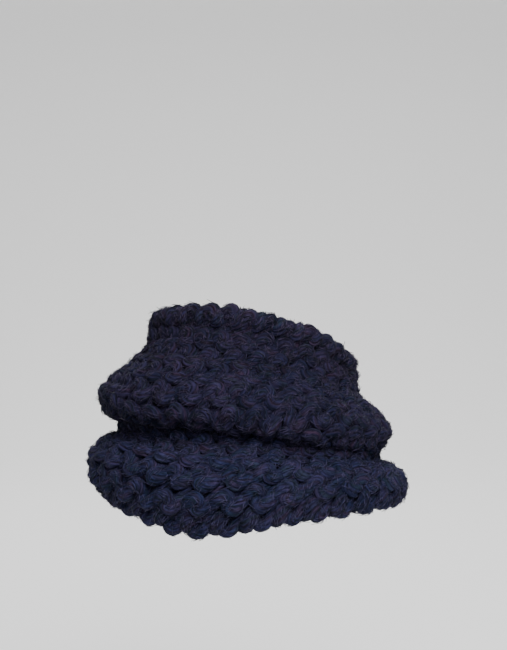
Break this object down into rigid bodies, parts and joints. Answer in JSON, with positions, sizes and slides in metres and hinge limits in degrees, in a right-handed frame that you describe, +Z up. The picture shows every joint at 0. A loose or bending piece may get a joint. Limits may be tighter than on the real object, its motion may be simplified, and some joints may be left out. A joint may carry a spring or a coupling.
{
  "type": "neck warmer",
  "caption": "Bulky hand-knitted neck warmer, a tube of stocking stitch worn purl side out in three slouching tiers, open at neck and hem.",
  "frame": {"origin": "middle of the neck opening, level with the wearer's shoulders, where neck and shoulders hold the garment", "axes": "+Z up the wearer's neck, -Y the way the wearer faces, +X the wearer's left"},
  "size_m": [0.2478, 0.2314, 0.1656],
  "materials": {
    "drape_yarn": "soft bulky plied yarn, navy with a little teal",
    "fold_yarn": "soft bulky plied yarn, dark navy",
    "collar_yarn": "soft bulky plied yarn, dark navy to charcoal",
    "edge_yarn": "soft bulky plied yarn, dark navy"
  },
  "bodies": {
    "root": {"lower_drape": "drape_yarn", "middle_fold": "fold_yarn", "collar": "collar_yarn", "cast_on_edge": "edge_yarn", "bound_off_edge": "edge_yarn"}
  },
  "joints": []
}
